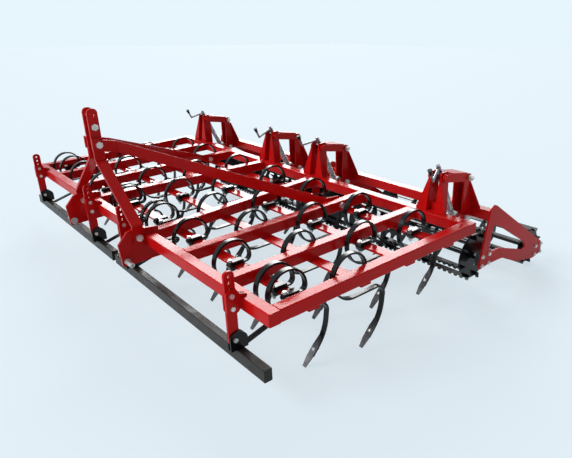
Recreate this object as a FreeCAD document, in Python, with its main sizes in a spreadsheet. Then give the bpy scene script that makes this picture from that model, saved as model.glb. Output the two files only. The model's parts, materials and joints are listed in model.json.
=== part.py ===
import math
import os

import FreeCAD
import Part
import Sketcher

V = FreeCAD.Vector
doc = FreeCAD.newDocument("SeedbedCultivator")

# Sizes
# Millimetres and degrees. The model is drawn level: x runs across the machine from its centre plane,
# y runs rearward from the front face of the frame, z runs up from the top face of the frame.
# The finished machine is then laid on the ground as it parks, nose a little down.

SIZES = (
    # name, value, what it is
    ("half_width", 1500.0, "centre plane to the outer face of a side beam"),
    ("frame_length", 1340.0, "front face to rear face of the frame"),
    ("tube", 60.0, "side of the square frame tube"),
    ("tube_wall", 5.0, "wall of the frame tube"),
    ("outer_beam_shift", 15.0, "outer pair of inner beams, outward from its even place"),
    ("middle_beam_shift", -5.0, "middle pair of inner beams, outward from its even place"),
    ("centre_beam_front", 390.0, "centre of the splayed pair at the front"),
    ("centre_beam_rear", 285.0, "centre of the splayed pair at the rear"),
    ("first_row", 234.0, "front of the frame to the first tine bar's middle"),
    ("last_row", 206.0, "last tine bar's middle to the rear of the frame"),
    ("bar_width", 60.0, "tine bar, front to rear"),
    ("bar_depth", 12.0, "tine bar, thickness"),
    ("spring_width", 25.0, "spring steel strip of a tine"),
    ("spring_depth", 10.0, "thickness of that strip"),
    ("loop_radius", 100.0, "middle line of a tine's round loop"),
    ("root_length", 72.0, "straight root of a tine under its clamp"),
    ("root_bend", 25.0, "bend from the clamp into the loop"),
    ("under_radius", 125.0, "wider curve under the loop"),
    ("tail_length", 148.0, "straight stretch behind that curve"),
    ("tail_bend", 50.0, "bend from the loop's tail down to the shin"),
    ("shin_radius", 220.0, "slow curve of the shin"),
    ("clamp_width", 32.0, "clamp of a tine, across the machine"),
    ("clamp_depth", 13.0, "thickness of a clamp over its strip"),
    ("point_width", 32.0, "soil point"),
    ("point_end_width", 13.0, "soil point at its ends"),
    ("point_depth", 8.0, "thickness of a soil point"),
    ("point_length", 104.0, "straight part of a soil point"),
    ("hitch_half_span", 412.5, "centre plane to the outer face of a hitch plate"),
    ("hitch_plate", 15.0, "thickness of a hitch plate"),
    ("hitch_pin_forward", 110.0, "hitch pin ahead of the frame"),
    ("hitch_pin_drop", 123.0, "hitch pin below the frame's top"),
    ("hitch_pin", 28.0, "diameter of a lower hitch pin"),
    ("hitch_pin_length", 62.0, "free length of a lower hitch pin"),
    ("hitch_collar", 34.0, "diameter of that pin's collar"),
    ("leg_bolt_forward", 31.0, "bolt of a mast leg ahead of the frame"),
    ("leg_bolt_drop", 8.0, "that bolt below the frame's top"),
    ("mast_gap", 52.0, "clear width between the mast plates"),
    ("mast_plate", 12.0, "thickness of a mast plate"),
    ("mast_width", 58.0, "mast plate, front to rear"),
    ("mast_foot", 335.0, "lower end of the mast plates above the frame"),
    ("mast_top", 612.0, "upper end of the mast plates above the frame"),
    ("mast_hole_height", 575.0, "top link bore above the frame"),
    ("mast_bolt_high", 514.0, "upper mast bolt above the frame"),
    ("mast_bolt_low", 421.0, "lower mast bolt above the frame"),
    ("top_link_bore", 25.6, "diameter of the top link bore"),
    ("leg_width", 60.0, "flat bar of a mast leg"),
    ("leg_depth", 12.0, "thickness of that bar"),
    ("stay_height", 65.0, "flat bar of a rear stay"),
    ("stay_depth", 12.0, "thickness of that bar"),
    ("inner_hanger", 250.0, "centre plane to an inner hanger post"),
    ("outer_hanger", 1300.0, "centre plane to an outer hanger post"),
    ("post_width", 50.0, "hanger post, front to rear"),
    ("post_depth", 12.0, "thickness of a hanger post"),
    ("post_forward", 42.0, "hanger post's middle ahead of the frame"),
    ("post_bolt_drop", 37.0, "hanger post's first hole below the frame's top"),
    ("post_pivot_drop", 185.0, "hanger post's lower bolt below the frame's top"),
    ("hole_pitch", 28.5, "adjusting holes of a hanger post"),
    ("board_height", 60.0, "levelling bar, upright side"),
    ("board_depth", 40.0, "levelling bar, front to rear"),
    ("board_gap", 24.0, "centre plane to the inner end of a levelling bar"),
    ("board_drop", 237.0, "top of a levelling bar below the frame's top"),
    ("inner_tower", 260.0, "centre plane to an inner roller tower"),
    ("outer_tower", 1235.0, "centre plane to an outer roller tower"),
    ("post_edge", 37.0, "front edge of a tower ahead of the frame's rear face"),
    ("tower_half_gap", 28.0, "tower's middle to the inner face of a cheek"),
    ("cheek", 8.0, "thickness of a tower's plates"),
    ("front_foot", 96.0, "tower's middle to the foot of a front flank"),
    ("rear_foot", 88.0, "tower's middle to the foot of the rear flank"),
    ("link_front", 22.0, "front link pins behind the frame's rear face"),
    ("link_reach", 212.0, "front link pin to rear link pin, rearward"),
    ("link_fall", 41.0, "front link pin to rear link pin, downward"),
    ("upper_pin_height", 184.0, "front upper link pin above the frame"),
    ("pin_spacing", 238.0, "upper to lower link pin"),
    ("link_pin", 20.0, "diameter of a link pin"),
    ("spindle", 20.0, "diameter of a height spindle's head"),
    ("thread", 34.0, "diameter of its thread"),
    ("crank_arm", 110.0, "throw of a crank"),
    ("crank_rod", 14.0, "diameter of a crank's rod"),
    ("gang_inner", 60.0, "centre plane to a roller gang's inner end"),
    ("gang_outer", 1410.0, "centre plane to a roller gang's outer end"),
    ("gang_beam_behind", 300.0, "gang beam's front face behind the frame"),
    ("gang_beam_drop", 50.0, "gang beam's top below the frame's top"),
    ("end_plate", 12.0, "thickness of a gang end plate"),
    ("plate_margin", 50.0, "end plate round an axle"),
    ("plate_arch", 52.0, "highest stretch of the end plate's lower edge below the front axle"),
    ("arch_reach", 182.0, "front axle to the rear end of that stretch"),
    ("bearing_depth", 26.0, "bearing housing, across the machine"),
    ("journal", 35.0, "diameter of a roller's shaft"),
    ("front_axle_behind", 277.0, "front roller axle behind the frame"),
    ("front_axle_drop", 337.0, "front roller axle below the frame's top"),
    ("rear_axle_behind", 885.0, "rear roller axle behind the frame"),
    ("rear_axle_drop", 457.0, "rear roller axle below the frame's top"),
    ("front_roller", 300.0, "diameter of a front roller"),
    ("rear_roller", 254.0, "diameter of a rear roller"),
    ("roller_bars", 8.0, "bars round a roller"),
)

# Tines of each bar from the front, as (bay, share): bay 0 lies between the splayed beams, bays 1, 2 and 3
# follow outward on the left and -1, -2 and -3 on the right, and the share runs outward over the room that a
# clamp has between two beams (in bay 0 from right to left). So no loop meets a beam, and every 100 mm or so
# of soil is stirred.
TINES = (
    ((3, 0.74), (2, 0.52), (1, 0.43), (0, 0.75), (0, 0.06), (-1, 0.78), (-2, 0.86), (-3, 1.0)),
    ((3, 1.0), (2, 1.0), (1, 0.93), (0, 0.98), (0, 0.28), (-1, 0.38), (-2, 0.5), (-3, 0.64)),
    ((3, 0.13), (2, 0.13), (1, 0.08), (0, 0.41), (-1, 0.17), (-2, 0.15), (-3, 0.24)),
    ((3, 0.42), (2, 0.33), (1, 0.4), (0, 0.66), (-1, 0.0), (-2, 0.1), (-3, 0.0)),
)

sheet = doc.addObject("Spreadsheet::Sheet", "sizes")
for line, (name, value, note) in enumerate(SIZES, start=2):
    sheet.set("A%d" % line, name)
    sheet.set("B%d" % line, str(value))
    sheet.setAlias("B%d" % line, name)
    sheet.set("C%d" % line, note)
sheet.set("A1", "size")
sheet.set("B1", "value")
sheet.set("C1", "meaning")
doc.recompute()


class Sizes:
    """The sheet's values by name."""

    def __getattr__(self, name):
        return float(sheet.get(name))


S = Sizes()

# Outlines


def rounded(corners):
    """A closed outline through (u, v, radius) corners."""
    edges = []
    count = len(corners)
    ends = []
    for index in range(count):
        u, v, radius = corners[index]
        here = V(u, v, 0)
        before = V(corners[index - 1][0], corners[index - 1][1], 0)
        after = V(corners[(index + 1) % count][0], corners[(index + 1) % count][1], 0)
        to_before = (before - here).normalize()
        to_after = (after - here).normalize()
        if radius <= 0:
            ends.append((here, here, None))
            continue
        half = math.acos(max(-1.0, min(1.0, to_before.dot(to_after)))) / 2
        reach = radius / math.tan(half)
        start = here + to_before * reach
        stop = here + to_after * reach
        middle = here + (to_before + to_after).normalize() * (radius / math.sin(half))
        turn = to_before.cross(to_after).z
        ends.append((start, stop, (middle, radius, turn)))
    for index in range(count):
        start, stop, arc = ends[index]
        if arc:
            middle, radius, turn = arc
            edges.append(arc_edge(middle, radius, start, stop, turn < 0))
        following = ends[(index + 1) % count][0]
        if (following - stop).Length > 1e-6:
            edges.append(Part.LineSegment(stop, following))
    return edges


def box(u0, v0, u1, v1, radius=0):
    """A rectangle with round corners."""
    return rounded([(u0, v0, radius), (u1, v0, radius), (u1, v1, radius), (u0, v1, radius)])


def arc_edge(middle, radius, start, stop, forward):
    """An arc from start to stop, counterclockwise when forward."""
    first = math.atan2(start.y - middle.y, start.x - middle.x)
    last = math.atan2(stop.y - middle.y, stop.x - middle.x)
    if not forward:
        first, last = last, first
    if last < first:
        last += 2 * math.pi
    return Part.ArcOfCircle(Part.Circle(middle, V(0, 0, 1), radius), first, last)


def strip(start, heading, moves, thickness):
    """A bent flat bar seen on edge: moves are (length, 0) or (radius, turn in degrees)."""
    half = thickness / 2
    left = []
    right = []
    here = V(start[0], start[1], 0)
    angle = math.radians(heading)
    for size, turn in moves:
        ahead = V(math.cos(angle), math.sin(angle), 0)
        side = V(-ahead.y, ahead.x, 0)
        if turn == 0:
            there = here + ahead * size
            left.append(Part.LineSegment(here + side * half, there + side * half))
            right.append(Part.LineSegment(here - side * half, there - side * half))
        else:
            sign = 1 if turn > 0 else -1
            middle = here + side * (size * sign)
            angle += math.radians(turn)
            ahead = V(math.cos(angle), math.sin(angle), 0)
            next_side = V(-ahead.y, ahead.x, 0)
            there = middle - next_side * (size * sign)
            for edges, offset in ((left, half), (right, -half)):
                radius = size - offset * sign
                begin = here + side * offset
                end = there + next_side * offset
                edges.append(arc_edge(middle, radius, begin, end, sign > 0))
            side = next_side
        here = there
    ahead = V(math.cos(angle), math.sin(angle), 0)
    side = V(-ahead.y, ahead.x, 0)
    begin = V(start[0], start[1], 0)
    angle0 = math.radians(heading)
    side0 = V(-math.sin(angle0), math.cos(angle0), 0)
    caps = [Part.LineSegment(begin + side0 * half, begin - side0 * half),
            Part.LineSegment(here + side * half, here - side * half)]
    return left + right + caps, here, math.degrees(angle)


def circle(u, v, radius):
    return Part.Circle(V(u, v, 0), V(0, 0, 1), radius)


# Solids


def plane_of(body, role):
    return [item for item in body.Origin.OriginFeatures if item.Role == role][0]


def new_body(name):
    body = doc.addObject("PartDesign::Body", name)
    body.Label = name
    body.AllowCompound = True
    return body


def new_sketch(body, name, role, edges):
    sketch = doc.addObject("Sketcher::SketchObject", name + "_outline")
    body.addObject(sketch)
    sketch.AttachmentSupport = [(plane_of(body, role), "")]
    sketch.MapMode = "FlatFace"
    sketch.addGeometry(list(edges), False)
    return sketch


def bind(item, **sizes):
    """Sets sizes of an object: a number, or a formula of the sheet's names."""
    for name, value in sizes.items():
        if isinstance(value, str):
            item.setExpression(name, value)
        else:
            setattr(item, name, value)


def plate(name, role, edges, depth, at=(0, 0, 0)):
    """An outline on a main plane, padded by a depth or a formula for it, and set at a place."""
    body = new_body(name)
    sketch = new_sketch(body, name, role, edges)
    pad = doc.addObject("PartDesign::Pad", name + "_pad")
    body.addObject(pad)
    pad.Profile = sketch
    bind(pad, Length=depth)
    sketch.Visibility = False
    body.Tip = pad
    body.Placement = FreeCAD.Placement(V(*at), FreeCAD.Rotation())
    return body


def copies(name, master, places):
    """One node from a master solid set at several places."""
    links = []
    for number, place in enumerate(places, start=1):
        link = doc.addObject("App::Link", "%s_%d" % (name, number))
        link.LinkedObject = master
        link.LinkPlacement = place
        links.append(link)
    node = doc.addObject("Part::Compound", name)
    node.Label = name
    node.Links = links
    return node


def joined(name, pieces):
    """Welded pieces as one solid."""
    node = doc.addObject("Part::MultiFuse", name)
    node.Label = name
    node.Shapes = pieces
    return node


def gathered(name, pieces):
    """Loose pieces of one node."""
    node = doc.addObject("Part::Compound", name)
    node.Label = name
    node.Links = pieces
    return node


def shaft(name, radius, length, at):
    """A round bar along x from its left end."""
    bar = doc.addObject("Part::Cylinder", name)
    bind(bar, Radius=radius, Height=length)
    bar.Placement = FreeCAD.Placement(V(*at), FreeCAD.Rotation(V(0, 1, 0), 90))
    return bar


def cut(name, base, tool):
    node = doc.addObject("Part::Cut", name)
    node.Label = name
    node.Base = base
    node.Tool = tool
    return node


def move(x=0, y=0, z=0, turn=0.0):
    """A place, with a turn about the vertical axis."""
    return FreeCAD.Placement(V(x, y, z), FreeCAD.Rotation(V(0, 0, 1), turn))


def upright(name, radius, low, high):
    """A round bar along z."""
    rod = doc.addObject("Part::Cylinder", name)
    bind(rod, Radius=radius, Height=high - low)
    rod.Placement = move(z=low)
    return rod


def common(name, pieces):
    """What all pieces share."""
    node = doc.addObject("Part::MultiCommon", name)
    node.Label = name
    node.Shapes = pieces
    return node


def mirrored(name, source):
    """The same piece on the other side of the centre plane."""
    node = doc.addObject("Part::Mirroring", name)
    node.Label = name
    node.Source = source
    node.Base = V(0, 0, 0)
    node.Normal = V(1, 0, 0)
    return node


nodes = []


def keep(node):
    nodes.append(node)
    return node


# Frame of square tubes, all flush on top


def tube_outline(side, wall):
    half = side / 2
    inner = half - wall
    return box(-half, -half, half, half, 6) + box(-inner, -inner, inner, inner, 2)


half_tube = S.tube / 2
cap = 4.0
side_beam = S.half_width - half_tube
even_bay = (side_beam - S.centre_beam_front) / 3
outer_beam = side_beam - even_bay + S.outer_beam_shift
middle_beam = S.centre_beam_front + even_bay + S.middle_beam_shift
cross_length = 2 * (S.half_width - cap)
cross_beam = plate("cross_beam", "YZ_Plane", tube_outline(S.tube, S.tube_wall), cross_length)
keep(copies("cross_beams", cross_beam, [move(cap - S.half_width, y, -half_tube)
                                        for y in (half_tube, S.frame_length - half_tube)]))

end_cap = plate("end_cap", "YZ_Plane", box(-half_tube, -half_tube, half_tube, half_tube, 6), cap)
cap_places = []
for y in (half_tube, S.frame_length - half_tube):
    cap_places += [move(-S.half_width, y, -half_tube), move(S.half_width - cap, y, -half_tube)]
keep(copies("beam_caps", end_cap, cap_places))

run = S.frame_length - 2 * S.tube
long_beam = plate("long_beam", "XZ_Plane", tube_outline(S.tube, S.tube_wall), run)
rear_face = S.frame_length - S.tube
keep(copies("side_beams", long_beam, [move(x, rear_face, -half_tube) for x in (-side_beam, side_beam)]))


def splayed_beam(name, hand):
    """A beam whose ends are cut flush with the cross beams."""
    skins = []
    for label, half, radius in (("skin", half_tube, 6), ("bore", half_tube - S.tube_wall, 2)):
        loft = doc.addObject("Part::Loft", "%s_%s" % (name, label))
        sections = []
        for y, x in ((S.tube, S.centre_beam_front), (rear_face, S.centre_beam_rear)):
            sketch = doc.addObject("Sketcher::SketchObject", "%s_%s_section" % (name, label))
            sketch.addGeometry(box(-half, -half, half, half, radius), False)
            sketch.Placement = FreeCAD.Placement(V(hand * x, y, -half_tube), FreeCAD.Rotation(V(1, 0, 0), 90))
            sections.append(sketch)
        bind(loft, Sections=sections, Solid=True, Ruled=True)
        skins.append(loft)
    return cut(name, skins[0], skins[1])


stay_end_y = 1080.0
stay_end_z = 5 - half_tube
outer_pair = copies("outer_pair", long_beam,
                    [move(x, rear_face, -half_tube) for x in (-outer_beam, outer_beam)])
middle_blank = copies("middle_blank", long_beam,
                      [move(x, rear_face, -half_tube) for x in (-middle_beam, middle_beam)])
stay_bolt_holes = shaft("stay_bolt_holes", 10, 2 * S.half_width, (-S.half_width, stay_end_y, stay_end_z))
middle_pair = cut("middle_pair", middle_blank, stay_bolt_holes)
keep(gathered("inner_beams", [outer_pair, middle_pair, splayed_beam("left_centre_beam", 1),
                              splayed_beam("right_centre_beam", -1)]))

bar_top = -S.tube
row_pitch = (S.frame_length - S.first_row - S.last_row) / 3
row_y = [S.first_row + row_pitch * number for number in range(4)]
bar_half = S.bar_width / 2
tine_bar = plate("tine_bar", "YZ_Plane", box(-bar_half, -S.bar_depth, bar_half, 0, 1), 2 * S.half_width - 8)
keep(copies("tine_bars", tine_bar, [move(4 - S.half_width, y, bar_top) for y in row_y]))

# Spring tines: a strip clamped under its bar, once round in a loop, and down to a reversible point

strip_mid = bar_top + S.spring_depth / 2


def loop_moves():
    """From the clamp: rearward, up and over the bar, down ahead of it and back underneath."""
    return [(S.root_length, 0), (S.root_bend, 90), (S.loop_radius, 180), (S.under_radius, 90)]


heel_length = 54.0
tine_edges, heel, heel_heading = strip((-bar_half, strip_mid), 0, loop_moves() + [
    (S.tail_length, 0), (S.tail_bend, -96), (40, 0), (S.shin_radius, -36), (heel_length, 0)], S.spring_depth)
tine = plate("tine", "YZ_Plane", tine_edges, "sizes.spring_width")

# The point lies along the front of the shin's end and follows its curve
aim = math.radians(heel_heading)
along = V(math.cos(aim), math.sin(aim), 0)
front_side = V(along.y, -along.x, 0)
lap = 12.0
lap_radius = S.shin_radius - S.spring_depth / 2 - S.point_depth / 2
centre = heel - along * heel_length + front_side * S.shin_radius
from_centre = math.radians(heel_heading + 90 + lap)
seat = centre + V(math.cos(from_centre), math.sin(from_centre), 0) * lap_radius
point_edges, point_end, _ = strip((seat.x, seat.y), heel_heading + lap, [
    (lap_radius, -lap), (S.point_length, 0), (40, -14)], S.point_depth)
point_side = plate("point_side", "YZ_Plane", point_edges, "sizes.point_width")
point_low = point_end.y - S.point_depth
point_high = seat.y + S.point_depth
point_taper = 42.0
narrow = (S.point_width - S.point_end_width) / 2
point_front = plate("point_front", "XZ_Plane", rounded([
    (narrow, point_low, 0), (S.point_width - narrow, point_low, 0),
    (S.point_width, point_low + point_taper, 12), (S.point_width, point_high - point_taper, 12),
    (S.point_width - narrow, point_high, 0), (narrow, point_high, 0),
    (0, point_high - point_taper, 12), (0, point_low + point_taper, 12)]), 400, (0, 300, 0))
point = common("point", [point_side, point_front])

beam_room = 1.5


def centre_beam(y):
    """The splayed beam's middle at a place along the frame."""
    along_beam = (y - S.tube) / (S.frame_length - 2 * S.tube)
    return S.centre_beam_front + (S.centre_beam_rear - S.centre_beam_front) * along_beam


def tine_x(bay, share, row):
    """Across the machine to a tine's middle, clear of the beams beside its bay."""
    room = half_tube + S.clamp_width / 2 + beam_room
    widest = centre_beam(row_y[row] - S.loop_radius - S.root_bend) + 1.5
    narrowest = centre_beam(row_y[row] + S.loop_radius)
    if bay == 0:
        return (2 * share - 1) * (narrowest - room)
    inner, outer = ((widest, middle_beam), (middle_beam, outer_beam), (outer_beam, side_beam))[abs(bay) - 1]
    return math.copysign(inner + room + share * (outer - inner - 2 * room), bay)


tine_places = [(tine_x(bay, share, number), number) for number, row in enumerate(TINES) for bay, share in row]
tine_low = min(point_end.y, heel.y) - S.point_depth / 2
for number in range(len(row_y)):
    places = [move(x - S.spring_width / 2, row_y[number]) for x, row in tine_places if row == number]
    keep(copies("tines_row_%d" % (number + 1), tine, places))
keep(copies("tine_points", point, [move(x - S.point_width / 2, row_y[row]) for x, row in tine_places]))

# Clamp over the strip, with a nose in front that hooks under the edge of the bar
bar_low = bar_top - S.bar_depth
strip_top = bar_top + S.spring_depth
clamp_top = strip_top + S.clamp_depth
nose = 30.0
hook = 9.0
clamp_edges = rounded([
    (-bar_half - nose, strip_top - 6, 8), (-bar_half - nose + 14, clamp_top, 8), (bar_half - 8, clamp_top, 5),
    (bar_half - 4, strip_top, 0), (-bar_half - 4, strip_top, 0), (-bar_half - 4, bar_top, 0),
    (-bar_half, bar_top, 0), (-bar_half, bar_low, 0), (-10, bar_low, 0), (-10, bar_low - hook, 3),
    (-bar_half - nose + 12, bar_low - hook, 8)])
clamp = plate("clamp", "YZ_Plane", clamp_edges, "sizes.clamp_width")

# Springs of the levelling bars: the same loop with its tail led forward
hanger_x = (-S.outer_hanger, -S.inner_hanger, S.inner_hanger, S.outer_hanger)
lug_gap = S.post_depth / 2 + 8
spring_x = [x - math.copysign(lug_gap + S.spring_width / 2, x) for x in hanger_x]
spring_path = loop_moves() + [(40, 0), (14, -165)]
_, spring_bend, spring_heading = strip((-bar_half, strip_mid), 0, spring_path, S.spring_depth)
spring_slope = math.radians(spring_heading + 180)
board_front = 4 - S.post_forward
board_rear = board_front + S.board_depth
spring_reach = row_y[0] + spring_bend.x - board_rear - 0.2 - S.spring_depth / 2 * math.sin(spring_slope)
spring_path.append((spring_reach / math.cos(spring_slope), 0))
spring_edges, _, _ = strip((-bar_half, strip_mid), 0, spring_path, S.spring_depth)
board_spring = plate("board_spring", "YZ_Plane", spring_edges, "sizes.spring_width")
keep(copies("levelling_springs", board_spring, [move(x - S.spring_width / 2, row_y[0]) for x in spring_x]))
clamp_x = tine_places + [(x, 0) for x in spring_x]
keep(copies("tine_clamps", clamp, [move(x - S.clamp_width / 2, row_y[number]) for x, number in clamp_x]))

# Hitch: side plates slotted over the front beam, pins, mast, legs and stays

hitch_edges = rounded([
    (-143, -26, 8), (-87, 34, 8), (-55, 42, 10), (85, 22, 4), (85, 0, 0), (0, 0, 0), (0, -S.tube, 0),
    (87, -S.tube, 0), (87, -146, 8), (-133, -150, 12)])
leg_bolt = (-S.leg_bolt_forward, -S.leg_bolt_drop)
hitch_edges += [circle(-S.hitch_pin_forward, -S.hitch_pin_drop, S.hitch_pin / 2),
                circle(leg_bolt[0], leg_bolt[1], 10)]
hitch_master = plate("hitch_master", "YZ_Plane", hitch_edges, "sizes.hitch_plate")
inner_face = S.hitch_half_span - S.hitch_plate
keep(copies("hitch_plates", hitch_master, [move(-S.hitch_half_span), move(inner_face)]))


def turned(name, outline, at, flip=False):
    """A turned piece about the x axis from (x, radius) corners."""
    body = new_body(name)
    sketch = new_sketch(body, name, "XZ_Plane", rounded([(x, r, 0) for x, r in outline]))
    turn = doc.addObject("PartDesign::Revolution", name + "_turn")
    body.addObject(turn)
    turn.Profile = sketch
    turn.ReferenceAxis = (sketch, ["H_Axis"])
    turn.Angle = 360
    sketch.Visibility = False
    body.Tip = turn
    spin = FreeCAD.Rotation(V(0, 0, 1), 180 if flip else 0)
    body.Placement = FreeCAD.Placement(V(*at), spin)
    return body


pin_r = S.hitch_pin / 2
collar_r = S.hitch_collar / 2
seat_x = 10 + S.hitch_plate
free_x = seat_x + 6
end_x = free_x + S.hitch_pin_length
pin_outline = [(0, 0), (0, collar_r + 4), (10, collar_r + 4), (10, pin_r), (seat_x, pin_r), (seat_x, collar_r),
               (free_x, collar_r), (free_x, pin_r), (end_x - 3, pin_r), (end_x, pin_r - 3), (end_x, 0)]
pins = []
for hand, flip in ((1, False), (-1, True)):
    pins.append(turned("hitch_pin_%d" % len(pins), pin_outline,
                       (hand * (inner_face - 10), -S.hitch_pin_forward, -S.hitch_pin_drop), flip))
keep(gathered("hitch_pins", pins))

mast_y = leg_bolt[0]
mast_front = mast_y - S.mast_width / 2
mast_rear = mast_y + S.mast_width / 2
mast_bolt_z = (S.mast_bolt_high, S.mast_bolt_low)
mast_top_r = S.mast_width / 2 - 3
mast_taper = S.mast_foot + 65
mast_edges = rounded([
    (mast_front + 8, S.mast_foot, 8), (mast_rear - 8, S.mast_foot, 8), (mast_rear, mast_taper, 30),
    (mast_rear, S.mast_top, mast_top_r), (mast_front, S.mast_top, mast_top_r), (mast_front, mast_taper, 30)])
mast_edges += [circle(mast_y, S.mast_hole_height, S.top_link_bore / 2)]
mast_edges += [circle(mast_y, z, 10) for z in mast_bolt_z]
mast_master = plate("mast_master", "YZ_Plane", mast_edges, "sizes.mast_plate")
half_gap = S.mast_gap / 2
mast_outer = half_gap + S.mast_plate
keep(copies("mast_plates", mast_master, [move(half_gap), move(-mast_outer)]))

# A leg: a flat bar bent at both ends, bolted outside the mast plate and outside the hitch plate
leg_top = mast_bolt_z[1] + 36
leg_low = leg_bolt[1] - 34
bend_high = S.mast_foot + 2
bend_low = 58.0
leg_half = S.leg_depth / 2
x_high = mast_outer + leg_half
x_low = S.hitch_half_span + leg_half
slope = math.degrees(math.atan2(bend_high - bend_low, x_low - x_high))
bend = 90 - slope
tuck = leg_half * math.tan(math.radians(bend / 2))
leg_edges = rounded([
    (x_high + leg_half, leg_top, 0), (x_high + leg_half, bend_high + tuck, 8),
    (x_low + leg_half, bend_low + tuck, 20), (x_low + leg_half, leg_low, 0),
    (x_low - leg_half, leg_low, 0), (x_low - leg_half, bend_low - tuck, 8),
    (x_high - leg_half, bend_high - tuck, 20), (x_high - leg_half, leg_top, 0)])
leg_rear = leg_bolt[0] + S.leg_width / 2
leg_blank = plate("leg_blank", "XZ_Plane", leg_edges, "sizes.leg_width", (0, leg_rear, 0))
leg_holes = joined("leg_holes", [
    shaft("leg_hole_high", 10, 60, (20, mast_y, mast_bolt_z[1])),
    shaft("leg_hole_low", 10, 60, (S.hitch_half_span - 20, leg_bolt[0], leg_bolt[1]))])
leg = cut("mast_leg", leg_blank, leg_holes)
keep(gathered("mast_legs", [leg, mirrored("mast_leg_other", leg)]))


def flat_path(name, stations, height, depth):
    """A flat bar on edge through (x, y, z) stations."""
    sections = []
    for number, (x, y, z) in enumerate(stations):
        sketch = doc.addObject("Sketcher::SketchObject", "%s_station_%d" % (name, number))
        sketch.addGeometry(box(-depth / 2, -height / 2, depth / 2, height / 2), False)
        sketch.Placement = FreeCAD.Placement(V(x, y, z), FreeCAD.Rotation(V(1, 0, 0), 90))
        sections.append(sketch)
    loft = doc.addObject("Part::Loft", name)
    bind(loft, Sections=sections, Solid=True, Ruled=True)
    return loft


stay_x_front = mast_outer + S.leg_depth + S.stay_depth / 2
stay_x_rear = middle_beam - half_tube - S.stay_depth / 2
stay_blank = flat_path("stay_blank", [
    (stay_x_front, mast_y - 35, mast_bolt_z[1] + 6), (stay_x_front, 75, mast_bolt_z[1] - 30),
    (stay_x_rear, stay_end_y - 60, stay_end_z + 10), (stay_x_rear, stay_end_y + 35, stay_end_z)],
    S.stay_height, S.stay_depth)
stay_holes = joined("stay_holes", [
    shaft("stay_hole_front", 10, 60, (30, mast_y, mast_bolt_z[1])),
    shaft("stay_hole_rear", 10, 60, (stay_x_rear - 30, stay_end_y, stay_end_z))])
stay = cut("rear_stay", stay_blank, stay_holes)
keep(gathered("rear_stays", [stay, mirrored("rear_stay_other", stay)]))


def bolt(name, x0, x1, y, z, radius, head):
    """A bolt along x, heads beyond both faces x0 and x1."""
    ends = []
    for face, out in ((x0, -1), (x1, 1)):
        prism = doc.addObject("Part::Prism", "%s_head_%d" % (name, len(ends)))
        bind(prism, Polygon=6, Circumradius=head, Height=head * 0.7)
        start = face - head * 0.7 if out < 0 else face
        prism.Placement = FreeCAD.Placement(V(start, y, z), FreeCAD.Rotation(V(0, 1, 0), 90))
        ends.append(prism)
    shank = shaft(name + "_shank", radius, x1 - x0 + head * 0.4, (x0 - head * 0.2, y, z))
    return joined(name, ends + [shank])


stay_outer = mast_outer + S.leg_depth + S.stay_depth
bolts = [bolt("mast_bolt", -stay_outer, stay_outer, mast_y, mast_bolt_z[1], 10, 19),
         bolt("mast_upper_bolt", -mast_outer, mast_outer, mast_y, mast_bolt_z[0], 10, 19)]
for hand, label in ((1, "left"), (-1, "right")):
    faces = sorted((hand * inner_face, hand * (S.hitch_half_span + S.leg_depth)))
    bolts.append(bolt(label + "_leg_bolt", faces[0], faces[1], leg_bolt[0], leg_bolt[1], 10, 19))
    faces = sorted((hand * (middle_beam + half_tube), hand * (stay_x_rear - S.stay_depth / 2)))
    bolts.append(bolt(label + "_stay_bolt", faces[0], faces[1], stay_end_y, stay_end_z, 10, 19))


# Hanger posts, their brackets, and the levelling bars under them

post_half = S.post_width / 2
post_y = -S.post_forward
bolt_low_z = -S.post_bolt_drop
bolt_high_z = bolt_low_z + 2 * S.hole_pitch
hole_z = [bolt_low_z + S.hole_pitch * number for number in range(6)]
pivot_z = -S.post_pivot_drop
post_edges = rounded([
    (post_y - post_half, pivot_z - 24, 20), (post_y + post_half, pivot_z - 24, 20),
    (post_y + post_half, hole_z[-1] + 22, 22), (post_y - post_half, hole_z[-1] + 22, 22)])
post_edges += [circle(post_y, z, 6.5) for z in hole_z] + [circle(post_y, pivot_z, 8)]
post = plate("post", "YZ_Plane", post_edges, "sizes.post_depth")
keep(copies("hanger_posts", post, [move(x - S.post_depth / 2) for x in hanger_x]))

bracket = 8.0
bracket_r = 27.0
bracket_edges = rounded([
    (post_y - bracket_r, bolt_low_z - bracket_r, bracket_r - 1),
    (post_y + bracket_r, bolt_low_z - bracket_r, 18), (0, bolt_low_z - 8, 0), (0, 0, 0), (half_tube, 0, 0),
    (half_tube, bracket, 3), (post_y + bracket_r + 8, 20, 14),
    (post_y + bracket_r - 4, bolt_high_z + bracket_r, 20),
    (post_y - bracket_r, bolt_high_z + bracket_r, bracket_r - 4)])
bracket_edges += [circle(post_y, z, 6.5) for z in (bolt_low_z, bolt_high_z)]
bracket_master = plate("bracket_master", "YZ_Plane", bracket_edges, bracket)
bracket_places = []
for x in hanger_x:
    bracket_places += [move(x + S.post_depth / 2), move(x - S.post_depth / 2 - bracket)]
keep(copies("hanger_brackets", bracket_master, bracket_places))

board_top = -S.board_drop
lug_edges = rounded([
    (post_y - 24, board_top, 4), (post_y + 62, board_top, 4), (post_y + 62, pivot_z + 6, 34),
    (post_y + 20, pivot_z + 42, 34), (post_y - 24, pivot_z + 24, 22)])
lug_edges += [circle(post_y, pivot_z, 8)]
lug = plate("lug", "YZ_Plane", lug_edges, 8)
lug_places = []
for x in hanger_x:
    lug_places += [move(x + S.post_depth / 2), move(x - S.post_depth / 2 - 8)]
keep(copies("levelling_lugs", lug, lug_places))

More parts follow.
